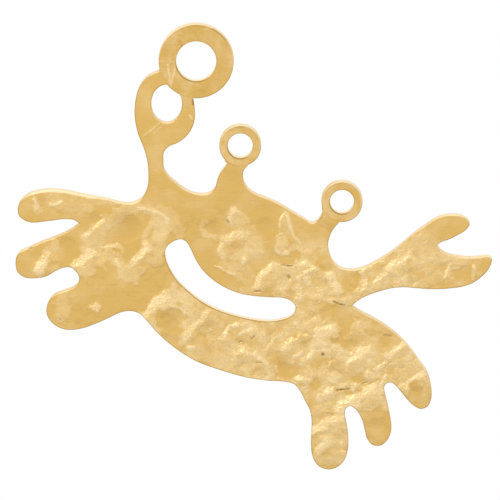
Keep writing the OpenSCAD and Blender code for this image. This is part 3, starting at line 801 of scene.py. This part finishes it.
def brass_material(name, settings, base_color, speckles, grain_depth):
    """Gold-toned brass: pale where worked or filed, with painted highlights and painted shade from the
    mesh's layers, grain and fine scratches.
    """
    material = bpy.data.materials.new(name)
    material.use_nodes = True
    tree = material.node_tree
    shader = tree.nodes["Principled BSDF"]
    shader.inputs["Metallic"].default_value = 1.0
    place = node(tree, "ShaderNodeTexCoord").outputs["Object"]
    pale, deep, filed = (painted(tree, layer) for layer in ("pale", "deep", "filed"))
    grain = noise_texture(tree, place, 5600.0, 2.0)
    clouds = noise_texture(tree, place, 380.0, 4.0)
    scratches = scratch_texture(tree, place)

    # Worked brass and painted highlights are paler and more speckled, and the clouds show less on them
    speckle = added(tree, times(tree, grain, speckles), 0.92 - 0.5 * speckles)
    cloud_share = added(tree, times(tree, pale, -0.4), 1.25)
    cloudy = times(tree, added(tree, clouds, -0.46), cloud_share)
    scratched = times(tree, added(tree, scratches, -0.5), 0.3)
    worked_and_highlight = added(tree, times(tree, pale, speckle), added(tree, cloudy, scratched))
    color = mixed(tree, worked_and_highlight, (*base_color, 1.0), (*settings.pale_color, 1.0))
    # The filed colour also paints highlights along lit edges and ring rims, and the shade colour paints
    # shade in creases, hollows, dents and along edges
    color = mixed(tree, filed, color, (*settings.filed_color, 1.0))
    color = mixed(tree, deep, color, (*settings.deep_color, 1.0))
    tree.links.new(color, shader.inputs["Base Color"])

    roughness = added(tree, stretched(tree, worked_and_highlight, 0.26, 0.46), times(tree, filed, 0.3))
    tree.links.new(roughness, shader.inputs["Roughness"])
    height = added(tree, times(tree, grain, added(tree, pale, 0.28)), times(tree, scratches, 0.1))
    bump = node(tree, "ShaderNodeBump", {"Distance": grain_depth * MM, "Height": height})
    tree.links.new(bump.outputs["Normal"], shader.inputs["Normal"])
    return material


class Outline:
    """The plate's loops, with quick answers on what lies where."""

    def __init__(self, context):
        self.loops = [stepped(loop, OUTLINE_STEP) for loop in sawn_loops()]
        self.rim = [p for loop in self.loops for p in loop]
        self.edges = []
        for loop in self.loops:
            start, size = len(self.edges), len(loop)
            self.edges += [(start + i, start + (i + 1) % size) for i in range(size)]
        self.solid = BVHTree.FromObject(PLATE, context.evaluated_depsgraph_get())
        self.longest = max(range(len(self.loops)), key=lambda i: len(self.loops[i]))
        fine, facing, hole = [], [], []
        for number, loop in enumerate(self.loops):
            dense = np.array(stepped(loop, FINE_OUTLINE_STEP))
            fine += list(dense)
            facing += list(self.to_light(dense, number))
            hole += [number != self.longest] * len(dense)
        self.facing, self.hole = np.array(facing), np.array(hole)
        self.near = kdtree.KDTree(len(fine))
        for i, (x, z) in enumerate(fine):
            self.near.insert((x, z, 0), i)
        self.near.balance()

    def to_light(self, dense, number):
        """How far the edge at each point of a loop faces the light: from -1 to 1."""
        along = np.roll(dense, -1, axis=0) - np.roll(dense, 1, axis=0)
        area = (dense[:, 0] * np.roll(dense[:, 1], -1) - dense[:, 1] * np.roll(dense[:, 0], -1)).sum()
        outward = -1.0 if (area > 0) == (number == self.longest) else 1.0
        return outward * (along @ (LIT_UP, -LIT_RIGHT)) / np.linalg.norm(along, axis=1)

    def depth(self, x, z):
        """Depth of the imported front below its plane, or None beside the plate."""
        hit = self.solid.ray_cast(Vector((x * MM, -0.01, z * MM)), Vector((0, 1, 0)))[0]
        return None if hit is None or hit.y > 0 else max(0.0, hit.y / MM + HALF_SHEET)

    def inward(self, loop, i):
        """Unit vector from a corner of a loop into the metal."""
        along = np.array(loop[(i + 1) % len(loop)]) - loop[i - 1]
        across = np.array((-along[1], along[0])) / np.linalg.norm(along)
        x, z = np.array(loop[i]) + 0.02 * across
        return across if self.depth(x, z) is not None else -across

    def fill(self, step, insets):
        """Points and triangles over one face: the loops, rows just inside them and a grid."""
        points = list(self.rim)

        def keep(x, z, least):
            if self.near.find((x, z, 0))[2] > least and self.depth(x, z) is not None:
                points.append((x, z))

        for loop in self.loops:
            for i in range(len(loop)):
                across = self.inward(loop, i)
                for inset in insets:
                    keep(*(np.array(loop[i]) + inset * across), 0.93 * inset)
        low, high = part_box("crab_plate")
        for row in range(int((high.z - low.z) / MM / (step * GRID_ROW_SHARE)) + 1):
            z = low.z / MM + row * step * GRID_ROW_SHARE
            for column in range(int((high.x - low.x) / MM / step) + 1):
                keep(low.x / MM + (column + 0.5 * (row % 2)) * step, z, insets[-1] + 0.4 * step)
        flat = geometry.delaunay_2d_cdt([Vector(p) for p in points], self.edges, [], 0, 1e-6)
        places = np.array([(v.x, v.y) for v in flat[0]])
        triangles = [f for f in flat[2] if self.depth(*(sum(places[i] for i in f) / 3)) is not None]
        corner = {i: new for new, ids in enumerate(flat[3]) for i in ids if i < len(self.rim)}
        return places, triangles, [corner[i] for i in range(len(self.rim))]

    def edge_data(self, places):
        """For each point: distance to the edge, how that edge faces the light, and if it is a hole's."""
        found = [self.near.find((x, z, 0)) for x, z in places]
        nearest = [f[1] for f in found]
        return np.array([f[2] for f in found]), self.facing[nearest], self.hole[nearest]


def hammered_front(outline, step, edge):
    """The front: edges that meet a washer stay square, and the others are filed round."""
    places, triangles, corners = outline.fill(step, FRONT_INSETS)
    gap, facing, hole = outline.edge_data(places)
    hollow = np.array([outline.depth(x, z) or 0.0 for x, z in places])
    away = from_seats(places)
    free, calm = smoothstep(0.0, 0.12, away - gap), smoothstep(0.05, 1.2, away)
    depth, pale, deep = hammered_relief(places, hollow)
    depth = LEAST_DEPTH + (depth - LEAST_DEPTH) * calm
    # Edges that face the light are filed wider, and most of all where they are worn
    lit = smoothstep(0.15, 0.95, facing)
    edge_radius = edge * np.where(hole, 0.4, 0.5 + 0.5 * lit)
    worn = np.zeros(len(places))
    for path, reach, extra in WORN:
        near = 1.0 - smoothstep(0.4 * reach, reach, from_path(places, path))
        edge_radius += extra * lit * ~hole * near
        worn = np.maximum(worn, near)
    # These edges get a painted highlight in the filed colour, and a painted shade line runs along the
    # others and round the holes
    filed = np.maximum(1.0 - smoothstep(0.6, 1.1, gap / edge_radius), 0.3 * np.exp(-gap / 0.12))
    filed *= (0.58 + 0.17 * worn) * free * np.where(hole, 0.0, lit)
    shade_line = bell(gap - 0.03, 0.06) * free
    deep = np.maximum(deep, shade_line * np.where(hole, 0.40 + 0.35 * lit, 0.5 * (1.0 - lit)))
    levels = -HALF_SHEET + depth + rounded(gap, edge_radius) * free
    rubbable = smoothstep(1.0, 2.0, gap / edge_radius) * calm * (1.0 - smoothstep(0.0, 0.02, hollow))
    return SimpleNamespace(
        places=places, triangles=triangles, corners=corners, levels=levels,
        pale=pale, deep=deep, filed=filed, rubbable=rubbable,
    )


def plain_back(outline, step, edge):
    """The back, nearly flat."""
    places, triangles, corners = outline.fill(BACK_STEP_SHARE * step, BACK_INSETS)
    gap = outline.edge_data(places)[0]
    away = from_seats(places)
    levels = HALF_SHEET - rounded(gap, 0.6 * edge) * smoothstep(0.0, 0.12, away)
    levels -= BACK_WAVE * (1 + wander(places, *BACK_WAVES)) * smoothstep(0.05, 0.8, away)
    return SimpleNamespace(places=places, triangles=triangles, corners=corners, levels=levels)


def sawn_wall(outline, verts, front_corners, back_corners):
    """Adds the sawn sides to verts, uneven from the blade and the file, and returns their faces."""
    faces = []
    start = 0
    for loop in outline.loops:
        size = len(loop)
        upper = front_corners[start : start + size]
        lower = back_corners[start : start + size]
        across = [outline.inward(loop, i) for i in range(size)]
        seated = from_seats(np.array([verts[i][::2] for i in upper])) < 0.01
        rows = [upper]
        for share in (row / WALL_ROWS for row in range(1, WALL_ROWS)):
            rows.append(list(range(len(verts), len(verts) + size)))
            for i, (x, z) in enumerate(loop):
                y = verts[upper[i]][1] * (1 - share) + verts[lower[i]][1] * share
                mark = noise.noise(Vector((x / 0.30, z / 0.30, y / 2.4 + 61.0)))
                cut = 0.0 if seated[i] else BLADE_MARK * (1 + mark)
                verts.append((x + cut * across[i][0], y, z + cut * across[i][1]))
        rows.append(lower)
        for a, b in zip(rows, rows[1:]):
            faces += [(a[i], a[(i + 1) % size], b[(i + 1) % size], b[i]) for i in range(size)]
        start += size
    return faces


class CHARM_OT_plate(bpy.types.Operator):
    """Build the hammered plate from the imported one's own outline"""

    bl_idname = "charm.plate"
    bl_label = "Hammered Plate"

    def execute(self, context):
        settings = context.scene.charm_plate
        step, edge = settings.mesh_step / MM, settings.edge_radius / MM
        outline = Outline(context)
        front = hammered_front(outline, step, edge)
        back = plain_back(outline, step, edge)

        first_back = len(front.places)
        verts = [(x, y, z) for (x, z), y in zip(front.places, front.levels)]
        verts += [(x, y, z) for (x, z), y in zip(back.places, back.levels)]
        faces = [tuple(f) for f in front.triangles]
        faces += [tuple(first_back + i for i in reversed(f)) for f in back.triangles]
        first_wall = len(verts)
        back_corners = [first_back + i for i in back.corners]
        faces += sawn_wall(outline, verts, front.corners, back_corners)
        plate = mesh_object("hammered_plate", verts, faces)

        # Steep ground is rubbed pale, away from the filed edges
        slope = np.array([math.hypot(v.normal.x, v.normal.z) for v in plate.data.vertices[:first_back]])
        rubbed = smoothstep(*RUBBED_SLOPES, slope) * front.rubbable
        pale = np.maximum(front.pale, 0.80 * rubbed)
        on_back, on_wall = np.ones(len(back.places)), np.ones(len(verts) - first_wall)
        in_hole = outline.edge_data(np.array([v[::2] for v in verts[first_wall:]]))[2]
        paint(
            plate.data,
            pale=np.concatenate([pale, 0.15 * on_back, 0.4 * on_wall]),
            deep=np.concatenate([front.deep, 0.0 * on_back, 0.0 * on_wall]),
            filed=np.concatenate([front.filed, 0.0 * on_back, np.where(in_hole, 1.0, 0.6)]),
        )
        color = settings.base_color
        brass = brass_material("hammered brass", settings, color, speckles=1.7, grain_depth=0.054)
        plate.data.materials.append(brass)
        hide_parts("crab_plate")
        return {"FINISHED"}


def ring_section(rim, bore):
    """Radii and levels once round a washer's section, from the bore's front edge."""

    def fallen(radius):
        return float(max(rounded(radius - bore, BORE_ROUND), rounded(rim - radius, RIM_ROUND)))

    across = [bore + BORE_ROUND * (1 - math.cos(a)) for a in np.linspace(0, math.pi / 2, 5)]
    face_rows = math.ceil((rim - bore - BORE_ROUND - RIM_ROUND) / RING_FACE_STEP)
    across += list(np.linspace(bore + BORE_ROUND, rim - RIM_ROUND, face_rows + 1)[1:-1])
    across += [rim - RIM_ROUND * (1 - math.sin(a)) for a in np.linspace(0, math.pi / 2, 6)]
    rim_levels = np.linspace(-HALF_SHEET + RIM_ROUND, HALF_SHEET - RIM_ROUND, RING_WALL_LEVELS)[1:-1]
    bore_levels = np.linspace(HALF_SHEET - BORE_ROUND, -HALF_SHEET + BORE_ROUND, RING_WALL_LEVELS)[1:-1]
    section = [(radius, -HALF_SHEET + fallen(radius)) for radius in across]
    section += [(rim, level) for level in rim_levels]
    section += [(radius, HALF_SHEET - fallen(radius)) for radius in reversed(across)]
    section += [(bore, level) for level in bore_levels]
    return section


def turned_ring(centre, rim, bore):
    """Vertices and faces of a washer turned from its section."""
    turns = 64 * math.ceil(rim)
    section = ring_section(rim, bore)
    angles = [2 * math.pi * i / turns for i in range(turns)]
    verts = np.array([
        (centre[0] + radius * math.cos(angle), level, centre[1] + radius * math.sin(angle))
        for radius, level in section
        for angle in angles
    ])
    faces = []
    for row in range(len(section)):
        upper, lower = row * turns, ((row + 1) % len(section)) * turns
        for i in range(turns):
            ahead = (i + 1) % turns
            faces.append((upper + i, upper + ahead, lower + ahead, lower + i))
    return verts, faces


def polish(verts, name, centre, rim, bore):
    """Makes a washer's front a little uneven, and returns for each vertex its paleness with painted light,
    its painted shade, and its filed colour with painted highlight.
    """
    number = RINGS.index(name)
    level, side_light, facing, rim_highlight_width = RING_PALENESS_AND_LIGHT[name]
    flat = verts[:, [0, 2]]
    out = flat - centre
    reach = np.linalg.norm(out, axis=1)
    from_rim, from_bore = np.maximum(rim - reach, 0), np.maximum(reach - bore, 0)
    up = out[:, 1] / reach
    low_left = out @ (-0.5, -0.866) / reach
    on_front = smoothstep(0.0, 0.1, -verts[:, 1] - HALF_SHEET + 0.2)

    waves = sum(depth * (1 + wander(flat, size, seed + number)) for depth, size, seed in RING_WAVES)
    streak, shaded_dent = drawn_lines(flat, STREAKS), drawn_lines(flat, SHADED_DENTS)
    settled = smoothstep(0.12, 0.5, from_rim)
    verts[:, 1] += on_front * settled * np.maximum(waves + shaded_dent - 0.7 * streak, 0.0)

    # The face is rubbed in patches with painted light on one side, the rim has a painted highlight on one
    # side, and the bore the filed colour all round
    side = level - side_light * (out[:, 0] / rim)
    for strength, size, seed in RING_TONES:
        side += strength * wander(flat, size, seed + number)
    pale = on_front * np.clip(STREAK_HIGHLIGHT * streak + side, 0, 1)
    filed = 0.7 * bell(from_rim, rim_highlight_width) * smoothstep(-0.2, 0.7, out @ facing / reach)
    filed = np.maximum(filed, np.where(reach < bore + 0.001, 1.0, 0.0))
    # Painted shade lines: round the bore, strongest at its lower left, and by the rim, and painted shade in
    # the dents
    bore_shade_line = bell(from_bore - 0.05, 0.06) * (0.28 + 0.72 * smoothstep(0.2, 0.85, low_left))
    rim_shade_line = bell(from_rim - 0.03, 0.05) * 0.5 * (1 - smoothstep(-0.4, 0.3, up))
    rim_shade_line += bell(from_rim - 0.15, 0.06) * 0.30 * smoothstep(0.2, 0.9, up)
    deep = on_front * np.clip(16 * shaded_dent + np.maximum(bore_shade_line, rim_shade_line), 0, 1)
    return pale, deep, filed


class CHARM_OT_rings(bpy.types.Operator):
    """Turn the three washers, with rounded rims and a hand-polished face"""

    bl_idname = "charm.rings"
    bl_label = "Rings"

    def execute(self, context):
        settings = context.scene.charm_plate
        color = settings.ring_color
        brass = brass_material("polished brass", settings, color, speckles=0.8, grain_depth=0.016)
        for name in RINGS:
            centre, rim, bore = ring_sizes(name)
            verts, faces = turned_ring(centre, rim, bore)
            pale, deep, filed = polish(verts, name, centre, rim, bore)
            ring = mesh_object(name + "_polished", verts, faces)
            paint(ring.data, pale=pale, deep=deep, filed=filed)
            ring.data.materials.append(brass)
            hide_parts(name)
        return {"FINISHED"}


def separate_seams():
    """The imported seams' corners as (x, z) in millimetres, one group for each seam."""
    bm = welded(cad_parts["solder_seams"])
    bm.verts.ensure_lookup_table()
    groups, reached = [], set()
    for vert in bm.verts:
        if vert.index in reached:
            continue
        group, queue = [], [vert]
        reached.add(vert.index)
        while queue:
            here = queue.pop()
            group.append((here.co.x / MM, here.co.z / MM))
            for edge in here.link_edges:
                other = edge.other_vert(here)
                if other.index not in reached:
                    reached.add(other.index)
                    queue.append(other)
        groups.append(np.array(group))
    bm.free()
    return groups


def seam_run(group, first):
    """Vertices and faces of the solder along one seam. The first vertex gets the number first."""

    def from_rim(ring):
        centre, rim, _ = ring
        return abs(np.linalg.norm(group - centre, axis=1).mean() - rim)

    centre, rim, _ = min((ring_sizes(name) for name in RINGS), key=from_rim)
    away = group - centre
    middle = math.atan2(away[:, 1].mean(), away[:, 0].mean())
    turn = (np.arctan2(away[:, 1], away[:, 0]) - middle + math.pi) % (2 * math.pi) - math.pi
    steps = max(12, math.ceil((turn.max() - turn.min()) * rim / SEAM_STEP))
    front = [(rim + offset, -HALF_SHEET + depth) for offset, depth in SEAM_SECTION]
    section = front + [(radius, -level) for radius, level in reversed(front)]
    size = len(section)
    verts, faces = [], []
    for i in range(steps + 1):
        angle = middle + turn.min() + (turn.max() - turn.min()) * (i / steps)
        for radius, level in section:
            x, z = centre[0] + radius * math.cos(angle), centre[1] + radius * math.sin(angle)
            lump = SOLDER_LUMP * noise.noise(Vector((x / 0.3, z / 0.3, 101.0)))
            verts.append((x, level + lump, z))
    for i in range(steps):
        for j in range(size):
            a, b = first + i * size + j, first + i * size + (j + 1) % size
            faces.append((a, b, b + size, a + size))
    faces.append(tuple(range(first, first + size)))
    faces.append(tuple(reversed(range(first + steps * size, first + (steps + 1) * size))))
    return verts, faces


class CHARM_OT_seams(bpy.types.Operator):
    """Run solder along the places where the washers meet the plate"""

    bl_idname = "charm.seams"
    bl_label = "Solder Seams"

    def execute(self, context):
        settings = context.scene.charm_plate
        verts, faces = [], []
        for group in separate_seams():
            run_verts, run_faces = seam_run(group, len(verts))
            verts += run_verts
            faces += run_faces
        seams = mesh_object("solder_runs", verts, faces)
        plain = np.zeros(len(verts))
        paint(seams.data, pale=plain + 0.10, deep=plain, filed=plain)
        color = settings.ring_color
        brass = brass_material("solder", settings, color, speckles=0.8, grain_depth=0.016)
        seams.data.materials.append(brass)
        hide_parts("solder_seams")
        return {"FINISHED"}


def table_top(scene, settings):
    """The floor: a round table top of pale card with a rolled edge."""
    bm = bmesh.new()
    profile = [bm.verts.new((radius, 0, level - settings.floor_drop)) for radius, level in TABLE_PROFILE]
    edges = [bm.edges.new(pair) for pair in zip(profile, profile[1:])]
    bmesh.ops.spin(
        bm, geom=profile + edges, cent=(0, 0, 0), axis=(0, 0, 1),
        angle=2 * math.pi, steps=128, use_merge=True,
    )
    bmesh.ops.remove_doubles(bm, verts=bm.verts, dist=1e-6)
    bmesh.ops.recalc_face_normals(bm, faces=bm.faces)
    mesh = bpy.data.meshes.new("floor")
    bm.to_mesh(mesh)
    bm.free()
    mesh.shade_smooth()
    floor = bpy.data.objects.new("floor", mesh)
    floor.location.x = MIDDLE.x
    scene.collection.objects.link(floor)
    card = bpy.data.materials.new("pale card")
    card.use_nodes = True
    shader = card.node_tree.nodes["Principled BSDF"]
    shader.inputs["Base Color"].default_value = (*settings.floor_color, 1.0)
    shader.inputs["Roughness"].default_value = 0.9
    mesh.materials.append(card)


def white_surround(scene):
    """The camera and the metal see a white surround, and the rest of the light from it is dimmer."""
    world = bpy.data.worlds.new("studio")
    scene.world = world
    world.use_nodes = True
    tree = world.node_tree
    path = node(tree, "ShaderNodeLightPath")
    straight = added(tree, path.outputs["Is Camera Ray"], path.outputs["Is Glossy Ray"])
    straight = added(tree, straight, path.outputs["Is Transmission Ray"])
    background = tree.nodes["Background"]
    background.inputs["Color"].default_value = (1.0, 1.0, 1.0, 1.0)
    tree.links.new(stretched(tree, straight, 0.8, 1.0), background.inputs["Strength"])


def soft_lamp(scene, name, place, size, power):
    """A round lamp that points at the middle of the charm."""
    light = bpy.data.lights.new(name, "AREA")
    light.shape = "DISK"
    light.size = size
    light.energy = power
    lamp = bpy.data.objects.new(name, light)
    lamp.location = MIDDLE + Vector(place)
    lamp.rotation_euler = (MIDDLE - lamp.location).to_track_quat("-Z", "Y").to_euler()
    scene.collection.objects.link(lamp)


def photo_camera(scene, settings):
    """The camera at the photograph's height and with its framing."""
    lens = bpy.data.cameras.new("camera")
    camera = bpy.data.objects.new("camera", lens)
    scene.collection.objects.link(camera)
    lens.sensor_width = SENSOR_WIDTH
    lens.lens = SENSOR_WIDTH * CAMERA_DISTANCE / VIEW_WIDTH
    lens.clip_start, lens.clip_end = 0.01, 10.0
    elevation = settings.camera_elevation
    camera.location = MIDDLE + CAMERA_DISTANCE * Vector((0, -math.cos(elevation), math.sin(elevation)))
    camera.rotation_euler = (math.pi / 2 - elevation, 0, 0)
    scene.camera = camera


class CHARM_OT_studio(bpy.types.Operator):
    """Set the floor, the soft light and the camera"""

    bl_idname = "charm.studio"
    bl_label = "Studio"

    def execute(self, context):
        scene = context.scene
        scene.view_settings.view_transform = "Standard"
        table_top(scene, scene.charm_studio)
        white_surround(scene)
        for lamp in LAMPS:
            soft_lamp(scene, *lamp)
        photo_camera(scene, scene.charm_studio)
        return {"FINISHED"}


class CHARM_PT_panel(bpy.types.Panel):
    """Lists the pieces of the charm and the studio"""

    bl_idname = "CHARM_PT_panel"
    bl_label = "Crab Charm"
    bl_space_type = "VIEW_3D"
    bl_region_type = "UI"
    bl_category = "Crab Charm"

    def draw(self, context):
        for settings in (context.scene.charm_plate, context.scene.charm_studio):
            box = self.layout.box()
            for key in settings.bl_rna.properties.keys():
                if key not in ("rna_type", "name"):
                    box.prop(settings, key)
        for operator in OPERATORS:
            self.layout.operator(operator.bl_idname)


OPERATORS = (CHARM_OT_plate, CHARM_OT_rings, CHARM_OT_seams, CHARM_OT_studio)
CLASSES = (PlateSettings, StudioSettings, *OPERATORS, CHARM_PT_panel)


def register():
    """Makes the settings, operators and panel known to Blender."""
    for cls in CLASSES:
        bpy.utils.register_class(cls)
    bpy.types.Scene.charm_plate = bpy.props.PointerProperty(type=PlateSettings)
    bpy.types.Scene.charm_studio = bpy.props.PointerProperty(type=StudioSettings)


def unregister():
    """Takes them out again."""
    del bpy.types.Scene.charm_studio
    del bpy.types.Scene.charm_plate
    for cls in reversed(CLASSES):
        bpy.utils.unregister_class(cls)


def main():
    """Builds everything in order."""
    register()
    bpy.ops.charm.plate()
    bpy.ops.charm.rings()
    bpy.ops.charm.seams()
    bpy.ops.charm.studio()
    bpy.context.view_layer.update()


if __name__ == "__main__":
    main()
